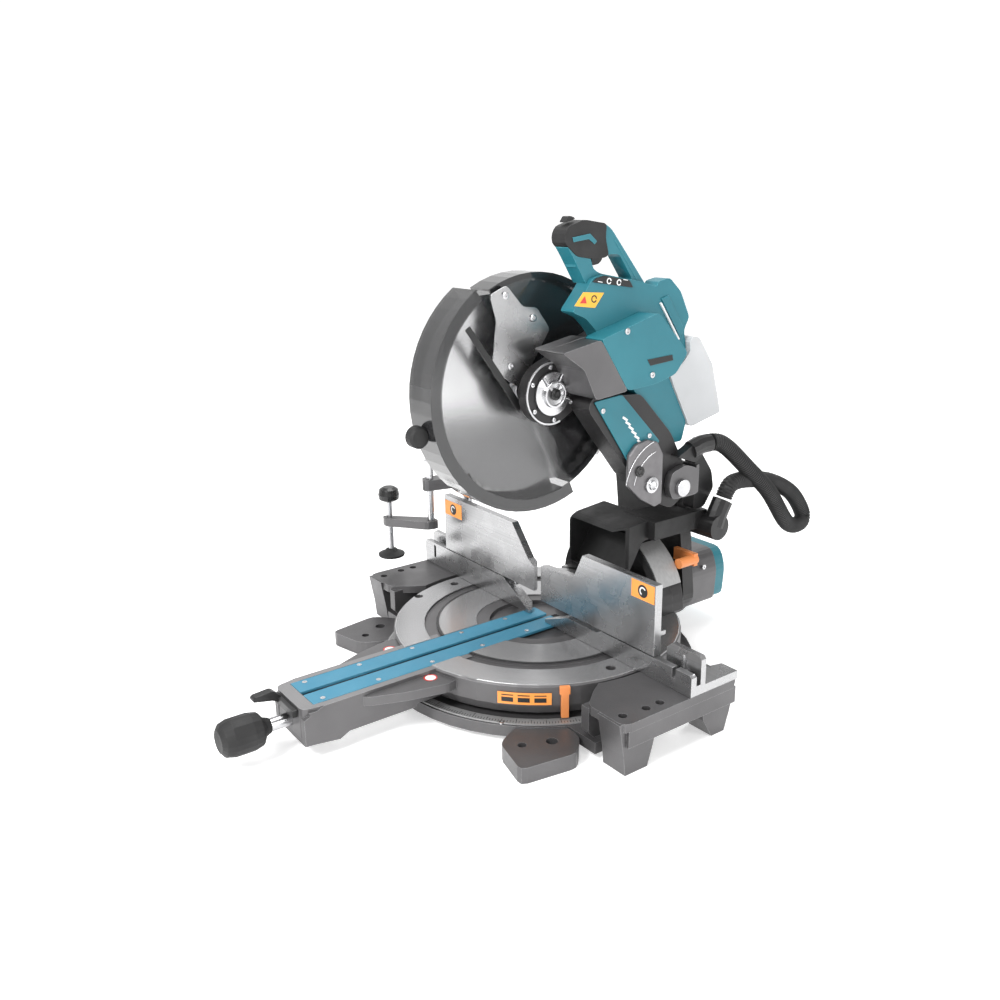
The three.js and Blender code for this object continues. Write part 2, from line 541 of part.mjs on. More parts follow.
// ---- battery and its mount ----
const mountOutline = soften([[104, 352.8], [150, 356.4], [172, 366], [214, 290], [206, 262],
  [176, 262]], 4, 2);
piece('battery_mount', cut(slab('x', mountOutline, 36, 89), slab('x', grown(bodyOutline, 0.4), 30, 83.4),
  slab('x', grown(motorCase, 0.4), 83, 90), slab('x', grown(armOutline, 0.4), 30, 100)), 0x2b6f7c, 0.5, 0);
piece('battery_pack', cut(slab('x', soften([
  [172, 370], [210, 404], [216, 417], [231, 415], [262, 372], [285, 296], [222, 282], [210, 292],
], 5, 2), 32, 92), slab('x', grown(bodyOutline, 0.6), 30, 100), slab('x', grown(motorCase, 0.6), 82, 100),
slab('x', grown(mountOutline, 0.6), 30, 100)), 0xdadcdd, 0.6, 0);

// ---- dust boot and hose ----
piece('hose_boot', join(slab('x', soften([[176, 246], [226, 268], [232, 244], [214, 232]], 4, 2), 97, 112),
  tube([[104, 210, 250], [106, 230, 256], [108, 246, 257]], 14, 12, 5)), 0x1a1a1c, 0.6, 0);
piece('dust_hose', tube([
  [108.2, 249.4, 257.1], [110, 266, 254], [112, 288, 240], [116, 326, 206], [118, 380, 158], [112, 440, 92],
  [104, 484, 78], [98, 500, 92],
  [100, 462, 136], [104, 400, 168], [106, 340, 182], [109, 304, 184], [110, 290, 176], [110, 282.6, 163],
], 13.5, 8, 56), 0x161617, 0.75, 0);

// ---- vertical work clamp on the left ----
const post = [-240, 40];
piece('clamp_post', join(bar('z', ...post, 8, 0.4, 174, 16), bar('z', ...post, 12, 0.4, 8, 16)),
  0x2b2b2d, 0.4, 0.7);
piece('clamp_upper_arm', cut(join(
  slab('z', soften([[-264, -36], [-242, -44], [-224, 32], [-228, 54], [-252, 54], [-256, 40]],
  8, 2), 152, 170),
), bar('z', ...post, 8.4, 140, 190, 16), bar('z', -250, -28, 6.4, 140, 190, 16)), 0x77787a, 0.4, 0.7);
piece('clamp_rod', join(bar('z', -250, -28, 6, 84, 196, 16), bar('z', -250, -28, 8.5, 196, 202, 16)),
  0x232325, 0.4, 0.7);
const lowerClampArm = soften([[-324, -80], [-306, -86], [-242, -38], [-240, -18], [-260, -18]], 7, 2);
piece('clamp_lower_arm', cut(slab('z', lowerClampArm, 84, 98),
  bar('z', -250, -28, 6.4, 80, 110, 16), bar('z', -312, -72, 5.4, 80, 110, 16)), 0x77787a, 0.4, 0.7);
piece('clamp_screw', join(
  bar('z', -312, -72, 5, 40, 132, 16),
  turned('z', -312, -72, [[0, 125], [10, 125], [17, 129], [18, 137], [16, 146], [10, 150], [0, 150]], 20),
), 0x3a3a3c, 0.5, 0.4);
piece('clamp_pad', turned('z', -312, -72, [[0, 27], [22, 27], [23, 31], [12, 36], [9, 39.6], [0, 39.6]],
  24), 0x1c1c1e, 0.7, 0);

saw.position.copy(centre).negate();

export default saw;
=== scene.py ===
import bpy
import json
import math
from mathutils import Matrix, Vector


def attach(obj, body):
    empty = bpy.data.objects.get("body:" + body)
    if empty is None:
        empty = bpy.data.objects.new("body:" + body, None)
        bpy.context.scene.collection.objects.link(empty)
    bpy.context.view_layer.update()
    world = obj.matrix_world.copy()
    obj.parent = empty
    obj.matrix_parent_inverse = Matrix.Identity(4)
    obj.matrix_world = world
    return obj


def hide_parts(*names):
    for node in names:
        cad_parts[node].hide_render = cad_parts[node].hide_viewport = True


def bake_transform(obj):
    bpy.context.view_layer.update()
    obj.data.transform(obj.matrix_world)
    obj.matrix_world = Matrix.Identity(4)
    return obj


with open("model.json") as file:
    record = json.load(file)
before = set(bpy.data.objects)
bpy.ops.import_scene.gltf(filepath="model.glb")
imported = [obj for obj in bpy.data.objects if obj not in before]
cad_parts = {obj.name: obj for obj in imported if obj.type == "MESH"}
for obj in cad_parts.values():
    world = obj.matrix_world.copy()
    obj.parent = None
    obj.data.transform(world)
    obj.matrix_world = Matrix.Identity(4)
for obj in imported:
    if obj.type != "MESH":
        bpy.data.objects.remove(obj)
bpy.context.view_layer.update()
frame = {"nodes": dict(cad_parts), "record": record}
nodes = frame["nodes"]
bpy.ops.object.select_all(action="DESELECT")
print("frame loaded:", len(nodes), "nodes")


# a place in millimetres from the middle of the table top, as the saw is drawn
def at(x, y, z):
    return Vector(((x + 9) / 1000, (y + 68.5) / 1000, (z + 74) / 1000))


def mm(value):
    return value / 1000


# the camera
view = {"place": (1.07889, -0.77202, 0.68333), "turn": 54.09, "down": 17.19, "lean": -0.822, "lens": 34.885}


def placeCamera():
    turn, down, lean = (math.radians(view[k]) for k in ("turn", "down", "lean"))
    ahead = Vector((-math.sin(turn) * math.cos(down), math.cos(turn) * math.cos(down), -math.sin(down)))
    right = Vector((math.cos(turn), math.sin(turn), 0))
    above = right.cross(ahead)
    side = math.cos(lean) * right + math.sin(lean) * above
    top = -math.sin(lean) * right + math.cos(lean) * above
    bpy.ops.object.camera_add(location=view["place"])
    camera = bpy.context.object
    camera.matrix_world = Matrix((
        (side.x, top.x, -ahead.x, view["place"][0]),
        (side.y, top.y, -ahead.y, view["place"][1]),
        (side.z, top.z, -ahead.z, view["place"][2]),
        (0, 0, 0, 1)))
    camera.data.lens = view["lens"]
    camera.data.sensor_width = 36
    bpy.context.scene.camera = camera


placeCamera()


# effects shared by several finishes
def newGroup(name, inputs, outputs, arrows=()):
    tree = bpy.data.node_groups.new(name, "ShaderNodeTree")
    for label, value in inputs:
        socket = tree.interface.new_socket(name=label, in_out="INPUT", socket_type="NodeSocketFloat")
        socket.default_value = value
    for label in outputs:
        tree.interface.new_socket(name=label, in_out="OUTPUT", socket_type="NodeSocketFloat")
    for label in arrows:
        tree.interface.new_socket(name=label, in_out="OUTPUT", socket_type="NodeSocketVector")
    return tree, tree.nodes.new("NodeGroupInput"), tree.nodes.new("NodeGroupOutput")


def addNode(tree, kind, **settings):
    node = tree.nodes.new(kind)
    for key, value in settings.items():
        setattr(node, key, value)
    return node


def mathNode(tree, operation, first, second=None):
    node = addNode(tree, "ShaderNodeMath", operation=operation)
    for socket, value in zip(node.inputs, (first, second)):
        if value is None:
            continue
        if isinstance(value, (int, float)):
            socket.default_value = value
        else:
            tree.links.new(value, socket)
    return node.outputs[0]


def castGrain():
    # sand-cast or moulded skin: fine grain over soft unevenness
    tree, source, sink = newGroup("castGrain", [("Scale", 900), ("Spread", 0.5)], ["Height", "Patch"])
    place = addNode(tree, "ShaderNodeTexCoord")
    fine = addNode(tree, "ShaderNodeTexNoise")
    fine.inputs["Detail"].default_value = 4
    broad = addNode(tree, "ShaderNodeTexNoise")
    broad.inputs["Scale"].default_value = 14
    broad.inputs["Detail"].default_value = 3
    tree.links.new(place.outputs["Object"], fine.inputs["Vector"])
    tree.links.new(place.outputs["Object"], broad.inputs["Vector"])
    tree.links.new(source.outputs["Scale"], fine.inputs["Scale"])
    lifted = mathNode(tree, "MULTIPLY", broad.outputs["Fac"], source.outputs["Spread"])
    total = mathNode(tree, "ADD", fine.outputs["Fac"], lifted)
    tree.links.new(total, sink.inputs["Height"])
    tree.links.new(broad.outputs["Fac"], sink.inputs["Patch"])
    return tree


def edgeRub():
    # bright where a rounded edge turns away from its faces
    tree, source, sink = newGroup("edgeRub", [("Width", 0.0016), ("Amount", 1.0)], ["Mask"])
    soft = addNode(tree, "ShaderNodeBevel", samples=4)
    tree.links.new(source.outputs["Width"], soft.inputs["Radius"])
    true = addNode(tree, "ShaderNodeNewGeometry")
    dot = addNode(tree, "ShaderNodeVectorMath", operation="DOT_PRODUCT")
    tree.links.new(soft.outputs["Normal"], dot.inputs[0])
    tree.links.new(true.outputs["Normal"], dot.inputs[1])
    place = addNode(tree, "ShaderNodeTexCoord")
    broken = addNode(tree, "ShaderNodeTexNoise")
    broken.inputs["Scale"].default_value = 120
    tree.links.new(place.outputs["Object"], broken.inputs["Vector"])
    turned = mathNode(tree, "SUBTRACT", 1.0, dot.outputs["Value"])
    sharp = mathNode(tree, "MULTIPLY", turned, 5.0)
    spotty = mathNode(tree, "MULTIPLY", sharp, broken.outputs["Fac"])
    strong = mathNode(tree, "MULTIPLY", spotty, source.outputs["Amount"])
    held = mathNode(tree, "MINIMUM", strong, 1.0)
    tree.links.new(held, sink.inputs["Mask"])
    return tree


def brushLines():
    # long fine scratches along one axis, set by how far each axis is squeezed
    tree, source, sink = newGroup("brushLines", [("X", 4), ("Y", 900), ("Z", 900)], ["Line", "Height"])
    place = addNode(tree, "ShaderNodeTexCoord")
    squeeze = addNode(tree, "ShaderNodeCombineXYZ")
    for axis in "XYZ":
        tree.links.new(source.outputs[axis], squeeze.inputs[axis])
    scaled = addNode(tree, "ShaderNodeVectorMath", operation="MULTIPLY")
    tree.links.new(place.outputs["Object"], scaled.inputs[0])
    tree.links.new(squeeze.outputs["Vector"], scaled.inputs[1])
    noise = addNode(tree, "ShaderNodeTexNoise")
    noise.inputs["Scale"].default_value = 1
    noise.inputs["Detail"].default_value = 5
    tree.links.new(scaled.outputs["Vector"], noise.inputs["Vector"])
    tree.links.new(noise.outputs["Fac"], sink.inputs["Line"])
    tree.links.new(mathNode(tree, "MULTIPLY", noise.outputs["Fac"], 0.6), sink.inputs["Height"])
    return tree


def handSmudge():
    tree, source, sink = newGroup("handSmudge", [("Low", 0.35), ("High", 0.6)], ["Roughness"])
    place = addNode(tree, "ShaderNodeTexCoord")
    noise = addNode(tree, "ShaderNodeTexNoise")
    noise.inputs["Scale"].default_value = 32
    noise.inputs["Detail"].default_value = 6
    tree.links.new(place.outputs["Object"], noise.inputs["Vector"])
    span = addNode(tree, "ShaderNodeMapRange")
    span.inputs["From Min"].default_value = 0.3
    span.inputs["From Max"].default_value = 0.7
    tree.links.new(noise.outputs["Fac"], span.inputs["Value"])
    tree.links.new(source.outputs["Low"], span.inputs["To Min"])
    tree.links.new(source.outputs["High"], span.inputs["To Max"])
    tree.links.new(span.outputs["Result"], sink.inputs["Roughness"])
    return tree


def turnedLines():
    # fine rings around an axis, the distance from it, and the way that the rings run
    tree, source, sink = newGroup(
        "turnedLines", [("X", 0), ("Y", 0), ("Z", 0), ("Across", 1), ("Up", 0), ("Fineness", 1400)],
        ["Radius", "Line"], ["Along"])
    place = addNode(tree, "ShaderNodeTexCoord")
    centre = addNode(tree, "ShaderNodeCombineXYZ")
    axis = addNode(tree, "ShaderNodeCombineXYZ")
    for axisName in "XYZ":
        tree.links.new(source.outputs[axisName], centre.inputs[axisName])
    tree.links.new(source.outputs["Across"], axis.inputs["X"])
    tree.links.new(source.outputs["Up"], axis.inputs["Z"])
    offset = addNode(tree, "ShaderNodeVectorMath", operation="SUBTRACT")
    tree.links.new(place.outputs["Object"], offset.inputs[0])
    tree.links.new(centre.outputs["Vector"], offset.inputs[1])
    around = addNode(tree, "ShaderNodeVectorMath", operation="CROSS_PRODUCT")
    tree.links.new(axis.outputs["Vector"], around.inputs[0])
    tree.links.new(offset.outputs["Vector"], around.inputs[1])
    reach = addNode(tree, "ShaderNodeVectorMath", operation="LENGTH")
    tree.links.new(around.outputs["Vector"], reach.inputs[0])
    outward = addNode(tree, "ShaderNodeVectorTransform", convert_from="OBJECT", convert_to="WORLD")
    tree.links.new(around.outputs["Vector"], outward.inputs["Vector"])
    noise = addNode(tree, "ShaderNodeTexNoise", noise_dimensions="1D")
    noise.inputs["Scale"].default_value = 1
    noise.inputs["Detail"].default_value = 4
    spot = mathNode(tree, "MULTIPLY", reach.outputs["Value"], source.outputs["Fineness"])
    tree.links.new(spot, noise.inputs["W"])
    tree.links.new(reach.outputs["Value"], sink.inputs["Radius"])
    tree.links.new(noise.outputs["Fac"], sink.inputs["Line"])
    tree.links.new(outward.outputs["Vector"], sink.inputs["Along"])
    return tree


effects = {"grain": castGrain(), "rub": edgeRub(), "brush": brushLines(), "smudge": handSmudge(),
           "turned": turnedLines()}


def useEffect(tree, name, **values):
    node = addNode(tree, "ShaderNodeGroup", node_tree=effects[name])
    for key, value in values.items():
        node.inputs[key].default_value = value
    return node


def blank(name):
    material = bpy.data.materials.new(name)
    material.use_nodes = True
    tree = material.node_tree
    return material, tree, tree.nodes["Principled BSDF"]


def blendColour(tree, amount, first, second):
    mix = addNode(tree, "ShaderNodeMix", data_type="RGBA")
    tree.links.new(amount, mix.inputs["Factor"])
    for socket, value in ((mix.inputs[6], first), (mix.inputs[7], second)):
        if isinstance(value, tuple):
            socket.default_value = (*value, 1)
        else:
            tree.links.new(value, socket)
    return mix.outputs[2]


# painted or moulded skin: two close tones in patches, grain in the bump, rubbed edges
def skin(name, dark, light, rub, rough, metal=0.0, scale=900, depth=0.0004, rubAmount=0.5):
    material, tree, shader = blank(name)
    grain = useEffect(tree, "grain", Scale=scale)
    edge = useEffect(tree, "rub", Amount=rubAmount)
    smudge = useEffect(tree, "smudge", Low=rough[0], High=rough[1])
    tone = blendColour(tree, grain.outputs["Patch"], dark, light)
    worn = blendColour(tree, edge.outputs["Mask"], tone, rub)
    bump = addNode(tree, "ShaderNodeBump")
    bump.inputs["Strength"].default_value = 0.35
    bump.inputs["Distance"].default_value = depth
    tree.links.new(grain.outputs["Height"], bump.inputs["Height"])
    tree.links.new(worn, shader.inputs["Base Color"])
    tree.links.new(smudge.outputs["Roughness"], shader.inputs["Roughness"])
    tree.links.new(bump.outputs["Normal"], shader.inputs["Normal"])
    shader.inputs["Metallic"].default_value = metal
    return material


# bare metal with a brushed or machined direction
def bareMetal(name, dark, light, rough, along, metal=1.0, depth=0.00012):
    material, tree, shader = blank(name)
    lines = useEffect(tree, "brush", X=along[0], Y=along[1], Z=along[2])
    edge = useEffect(tree, "rub", Amount=0.8)
    smudge = useEffect(tree, "smudge", Low=rough[0], High=rough[1])
    tone = blendColour(tree, lines.outputs["Line"], dark, light)
    worn = blendColour(tree, edge.outputs["Mask"], tone, tuple(min(1, c * 1.25) for c in light))
    bump = addNode(tree, "ShaderNodeBump")
    bump.inputs["Strength"].default_value = 0.4
    bump.inputs["Distance"].default_value = depth
    tree.links.new(lines.outputs["Height"], bump.inputs["Height"])
    tree.links.new(worn, shader.inputs["Base Color"])
    tree.links.new(smudge.outputs["Roughness"], shader.inputs["Roughness"])
    tree.links.new(bump.outputs["Normal"], shader.inputs["Normal"])
    shader.inputs["Metallic"].default_value = metal
    return material


def band(tree, value, low, high, bottom=0.0, top=1.0):
    # a smooth ramp from bottom to top while the value goes from low to high
    ramp = addNode(tree, "ShaderNodeMapRange", interpolation_type="SMOOTHSTEP")
    tree.links.new(value, ramp.inputs["Value"])
    for label, number in (("From Min", low), ("From Max", high), ("To Min", bottom), ("To Max", top)):
        ramp.inputs[label].default_value = number
    return ramp.outputs["Result"]


spindle = {"y": -18, "z": 357}


# see-through guard: clear near the blade, darker in its lower half and at its rim
def guardPlastic(name, tint, clear, rim, rimStart, lower):
    material, tree, shader = blank(name)
    centre = at(0, spindle["y"], spindle["z"])
    rings = useEffect(tree, "turned", Y=centre.y, Z=centre.z)
    smudge = useEffect(tree, "smudge", Low=0.06, High=0.2)
    place = addNode(tree, "ShaderNodeTexCoord")
    split = addNode(tree, "ShaderNodeSeparateXYZ")
    tree.links.new(place.outputs["Object"], split.inputs["Vector"])
    low = band(tree, split.outputs["Z"], centre.z - 0.06, centre.z + 0.01, lower, 0.0)
    edge = band(tree, rings.outputs["Radius"], mm(rimStart), mm(rimStart + 3), clear, rim)
    thick = mathNode(tree, "MINIMUM", mathNode(tree, "ADD", edge, low), 0.95)
    tree.links.new(thick, shader.inputs["Alpha"])
    shader.inputs["Base Color"].default_value = (*tint, 1)
    tree.links.new(smudge.outputs["Roughness"], shader.inputs["Roughness"])
    shader.inputs["Coat Weight"].default_value = 0.6
    shader.inputs["Coat Roughness"].default_value = 0.05
    return material


# bright metal turned on a lathe, so that its shine runs out from the axis
def turnedMetal(name, dark, light, centre, upright, rough, anisotropy=0.75, metal=1.0):
    material, tree, shader = blank(name)
    rings = useEffect(tree, "turned", X=centre.x, Y=centre.y, Z=centre.z, Across=0 if upright else 1,
                      Up=1 if upright else 0)
    tree.links.new(blendColour(tree, rings.outputs["Line"], dark, light), shader.inputs["Base Color"])
    tree.links.new(rings.outputs["Along"], shader.inputs["Tangent"])
    bump = addNode(tree, "ShaderNodeBump")
    bump.inputs["Strength"].default_value = 0.12
    bump.inputs["Distance"].default_value = 0.0001
    tree.links.new(rings.outputs["Line"], bump.inputs["Height"])
    tree.links.new(bump.outputs["Normal"], shader.inputs["Normal"])
    shader.inputs["Metallic"].default_value = metal
    shader.inputs["Roughness"].default_value = rough
    shader.inputs["Anisotropic"].default_value = anisotropy
    return material


# casting whose top face is machined in rings: bright there, grey and grainy elsewhere, with a near-black
# ring of painted shade standing for the groove
def machinedCasting(name, dark, light, groove):
    material, tree, shader = blank(name)
    centre = at(0, 0, 0)
    rings = useEffect(tree, "turned", X=centre.x, Y=centre.y, Z=centre.z, Across=0, Up=1, Fineness=1100)
    grain = useEffect(tree, "grain", Scale=700)
    edge = useEffect(tree, "rub", Amount=0.6)
    place = addNode(tree, "ShaderNodeTexCoord")
    split = addNode(tree, "ShaderNodeSeparateXYZ")
    tree.links.new(place.outputs["Object"], split.inputs["Vector"])
    top = band(tree, split.outputs["Z"], centre.z - 0.0012, centre.z - 0.0006)
    bright = blendColour(tree, rings.outputs["Line"], (0.36, 0.36, 0.365), (0.6, 0.6, 0.605))
    # painted shade: a near-black ring on the top face where the groove lies in shadow
    past = band(tree, rings.outputs["Radius"], mm(groove[0]), mm(groove[0] + 1.2))
    before = band(tree, rings.outputs["Radius"], mm(groove[1] - 1.2), mm(groove[1]), 1.0, 0.0)
    paintedGrooveShade = mathNode(tree, "MULTIPLY", mathNode(tree, "MULTIPLY", past, before), 0.85)
    disc = blendColour(tree, paintedGrooveShade, bright, (0.012, 0.012, 0.013))
    cast = blendColour(tree, edge.outputs["Mask"], blendColour(tree, grain.outputs["Patch"], dark, light),
                       (0.34, 0.34, 0.35))
    tree.links.new(blendColour(tree, top, cast, disc), shader.inputs["Base Color"])
    tree.links.new(band(tree, top, 0, 1, 0.45, 0.9), shader.inputs["Metallic"])
    tree.links.new(band(tree, top, 0, 1, 0.42, 0.27), shader.inputs["Roughness"])
    bump = addNode(tree, "ShaderNodeBump")
    bump.inputs["Strength"].default_value = 0.3
    bump.inputs["Distance"].default_value = 0.0003
    rough = mathNode(tree, "MULTIPLY", grain.outputs["Height"], band(tree, top, 0, 1, 1.0, 0.05))
    tree.links.new(rough, bump.inputs["Height"])
    tree.links.new(bump.outputs["Normal"], shader.inputs["Normal"])
    tree.links.new(rings.outputs["Along"], shader.inputs["Tangent"])
    shader.inputs["Anisotropic"].default_value = 0.6
    return material


# steel below a height, black knob above it
def knobbedSteel(name, height):
    material, tree, shader = blank(name)
    grain = useEffect(tree, "grain", Scale=900)
    smudge = useEffect(tree, "smudge", Low=0.22, High=0.36)
    place = addNode(tree, "ShaderNodeTexCoord")
    split = addNode(tree, "ShaderNodeSeparateXYZ")
    tree.links.new(place.outputs["Object"], split.inputs["Vector"])
    above = band(tree, split.outputs["Z"], height - 0.0002, height)
    steel = blendColour(tree, grain.outputs["Patch"], (0.45, 0.45, 0.46), (0.6, 0.6, 0.61))
    tree.links.new(blendColour(tree, above, steel, (0.012, 0.012, 0.012)), shader.inputs["Base Color"])
    tree.links.new(band(tree, above, 0, 1, 1.0, 0.0), shader.inputs["Metallic"])
    tree.links.new(smudge.outputs["Roughness"], shader.inputs["Roughness"])
    return material


finishes = {
    "cast_grey": skin("castGrey", (0.085, 0.083, 0.085), (0.145, 0.142, 0.145),
        (0.38, 0.38, 0.39), (0.3, 0.44),
                      metal=0.6, scale=700, depth=0.0006, rubAmount=0.6),
    "dark_cast": skin("darkCast", (0.014, 0.0135, 0.014), (0.026, 0.025, 0.0255),
    (0.2, 0.2, 0.2), (0.3, 0.48),
                      metal=0.25, scale=650, depth=0.0006, rubAmount=0.55),
    "bare_alu": bareMetal("bareAluminium", (0.3, 0.3, 0.305), (0.54, 0.54, 0.545), (0.2, 0.33),
    (5, 700, 900), metal=0.95),
    "steel": bareMetal("machinedSteel", (0.42, 0.42, 0.43), (0.68, 0.68, 0.69), (0.2, 0.34), (700, 60, 60)),
    "rail_chrome": bareMetal("polishedRail", (0.62, 0.63, 0.64), (0.8, 0.81, 0.82),
    (0.06, 0.14), (900, 6, 900),
                             depth=0.00004),
    "teal": skin("tealPlastic", (0.011, 0.122, 0.158), (0.019, 0.172, 0.214),
    (0.09, 0.35, 0.4), (0.38, 0.52),
                 scale=1100, depth=0.00025, rubAmount=0.5),
    "board": skin("kerfBoard", (0.03, 0.165, 0.26), (0.046, 0.225, 0.335), (0.12, 0.34, 0.42), (0.4, 0.6),
                  scale=1300, depth=0.0002, rubAmount=0.3),
    "black": skin("blackPlastic", (0.005, 0.005, 0.0055), (0.010, 0.0098, 0.010),
    (0.05, 0.05, 0.05), (0.34, 0.5),
                  scale=1200, depth=0.0003, rubAmount=0.5),
    "black_rubber": skin("blackRubber", (0.006, 0.006, 0.0063), (0.011, 0.0107, 0.011), (0.05, 0.05, 0.05),
                         (0.5, 0.72), scale=1600, depth=0.0005, rubAmount=0.3),
    "smoke": guardPlastic("smokedGuard", (0.02, 0.02, 0.021), 0.1, 0.84, 155, 0.3),
    "frosted": skin("frostedPack", (0.4, 0.41, 0.42), (0.52, 0.53, 0.54), (0.8, 0.8, 0.8), (0.45, 0.6),
                    scale=500, depth=0.0002, rubAmount=0.6),
    "orange": skin("orangePlastic", (0.62, 0.2, 0.055), (0.78, 0.28, 0.085), (0.9, 0.5, 0.3), (0.4, 0.55),
                   scale=900, depth=0.0002, rubAmount=0.3),
    "scale": bareMetal("printedScale", (0.3, 0.3, 0.3), (0.46, 0.46, 0.46), (0.35, 0.5),
    (300, 300, 6), metal=0.6),
    "copper": bareMetal("woundCopper", (0.3, 0.13, 0.06), (0.5, 0.25, 0.13), (0.3, 0.5), (9, 600, 600)),
}
extras = {
    "yellow": skin("yellowSticker", (0.74, 0.38, 0.035), (0.86, 0.47, 0.05), (0.9, 0.6, 0.2), (0.35, 0.45),
                   scale=400, depth=0.0001, rubAmount=0.2),
    # white print, also used as the painted highlight on the rear panel's edge strip
    "white": skin("whitePrintAndHighlight", (0.7, 0.7, 0.7), (0.82, 0.82, 0.82), (0.9, 0.9, 0.9), (0.4, 0.5),
                  scale=400, depth=0.0001, rubAmount=0.1),
    "red": skin("redPrint", (0.5, 0.03, 0.025), (0.6, 0.045, 0.035), (0.7, 0.1, 0.1), (0.4, 0.5),
                scale=400, depth=0.0001, rubAmount=0.1),
    "ink": skin("blackPrint", (0.008, 0.008, 0.008), (0.014, 0.014, 0.014), (0.03, 0.03, 0.03), (0.4, 0.5),
                scale=400, depth=0.0001, rubAmount=0.1),
    "upperGuard": guardPlastic("upperGuard", (0.016, 0.016, 0.017), 0.4, 0.93, 150, 0.0),
    "blade": turnedMetal("brushedBlade", (0.72, 0.72, 0.73), (0.88, 0.88, 0.89),
                         at(0, spindle["y"], spindle["z"]), False, 0.26),
    "table": machinedCasting("machinedTable", (0.085, 0.083, 0.085), (0.145, 0.142, 0.145), (148, 158)),
    "knob": knobbedSteel("clampKnob", at(0, 0, 124).z),
    "label": skin("orangeSticker", (0.78, 0.27, 0.05), (0.88, 0.33, 0.07), (0.9, 0.5, 0.3), (0.35, 0.45),
                  scale=400, depth=0.0001, rubAmount=0.1),
    "gear": bareMetal("gearCasting", (0.12, 0.115, 0.12), (0.2, 0.195, 0.2), (0.32, 0.46),
    (80, 80, 80), metal=0.6),
}
print("finishes made:", len(finishes) + len(extras))


def paint(piece, material):
    piece.data.materials.clear()
    piece.data.materials.append(material)


# the carried-over frame: rounded edges and finishes
slotOf = {row["node"]: row["material_slot"] for row in frame["record"]["subparts"]}
sharpNodes = {"blade", "drive_belt", "motor_stator", "motor_rotor", "mitre_scale", "bevel_scale"}
edgeRadius = {"handle": 3.5, "handle_grip": 4.5, "head_housing": 2.5, "motor_housing": 2.5,
    "battery_pack": 3,
              "gear_housing": 1.6, "turntable_casting": 1.2, "rear_housing": 2.5, "rear_cap": 3,
              "dust_nozzle": 1.5,
              "head_arm": 2, "hose_boot": 2}


ownFinish = {"blade": "blade", "turntable_casting": "table", "upper_guard": "upperGuard",
             "clamp_screw": "knob"}


def dressFrame():
    for name, node in nodes.items():
        paint(node, extras[ownFinish[name]] if name in ownFinish else finishes[slotOf[name]])
        weld = node.modifiers.new("weld", "WELD")
        weld.merge_threshold = 0.00002
        if name in sharpNodes:
            continue
        edge = node.modifiers.new("edge", "BEVEL")
        edge.width = mm(edgeRadius.get(name, 0.9))
        edge.segments = 3 if name in edgeRadius else 2
        edge.limit_method = "ANGLE"
        edge.angle_limit = math.radians(28)
        edge.harden_normals = False
    bpy.ops.object.select_all(action="DESELECT")


dressFrame()
print("frame dressed")


# making a new piece
def leaveWith(piece, body, material):
    paint(piece, material)
    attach(piece, body)
    bpy.ops.object.select_all(action="DESELECT")
    return piece


def roundEdges(piece, width, segments=2, angle=30):
    edge = piece.modifiers.new("edge", "BEVEL")
    edge.width = mm(width)
    edge.segments = segments
    edge.limit_method = "ANGLE"
    edge.angle_limit = math.radians(angle)
    bpy.ops.object.modifier_apply(modifier=edge.name)


# a flat sheet cut to an outline across one axis, lifted along that axis from start to end
def cutSheet(name, axis, outline, start, end, bevel=0.0):
    bpy.ops.mesh.primitive_circle_add(vertices=len(outline), fill_type="NGON")
    piece = bpy.context.object
    piece.name = name
    place = {"x": lambda u, v: at(start, u, v), "y": lambda u, v: at(u, start, v), "z": lambda u,
        v: at(u, v, start)}
    for vertex, (u, v) in zip(piece.data.vertices, outline):
        vertex.co = place[axis](u, v)
    lift = {"x": (1, 0, 0), "y": (0, 1, 0), "z": (0, 0, 1)}[axis]
    bpy.ops.object.mode_set(mode="EDIT")
    bpy.ops.mesh.select_all(action="SELECT")
    travel = tuple(c * mm(end - start) for c in lift)
    bpy.ops.mesh.extrude_region_move(TRANSFORM_OT_translate={"value": travel})
    bpy.ops.mesh.select_all(action="SELECT")
    bpy.ops.mesh.normals_make_consistent(inside=False)
    bpy.ops.object.mode_set(mode="OBJECT")
    if bevel:
        roundEdges(piece, bevel)
    return piece


turnTo = {"x": (0, math.pi / 2, 0), "z": (0, 0, 0)}


def settle(piece):
    bpy.ops.object.transform_apply(location=True, rotation=True, scale=True)
    return piece


def topFace(piece):
    # selects the face at the far end of an upright primitive and returns to edit mode
    bpy.ops.object.mode_set(mode="EDIT")
    bpy.ops.mesh.select_all(action="DESELECT")
    bpy.ops.object.mode_set(mode="OBJECT")
    highest = max(polygon.center.z for polygon in piece.data.polygons)
    for polygon in piece.data.polygons:
        polygon.select = polygon.center.z > highest - 1e-6
    bpy.ops.object.mode_set(mode="EDIT")
    bpy.ops.mesh.select_mode(type="FACE")


# round-headed screw with a hexagon socket, its head standing out along the axis
def capScrew(name, centre, axis, radius=4.0, height=3.0):
    bpy.ops.mesh.primitive_cylinder_add(vertices=24, radius=mm(radius), depth=mm(height),
                                        location=(0, 0, mm(height) / 2))
    piece = bpy.context.object
    piece.name = name
    settle(piece)
    topFace(piece)
    bpy.ops.mesh.inset(thickness=mm(radius * 0.18))
    bpy.ops.transform.translate(value=(0, 0, mm(height * 0.12)))
    bpy.ops.mesh.inset(thickness=mm(radius * 0.34))
    bpy.ops.mesh.extrude_region_move(TRANSFORM_OT_translate={"value": (0, 0, -mm(height * 0.7))})
    bpy.ops.object.mode_set(mode="OBJECT")
    bpy.ops.object.shade_smooth_by_angle(angle=math.radians(35))
    piece.rotation_euler = turnTo[axis]
    piece.location = centre
    return settle(piece)


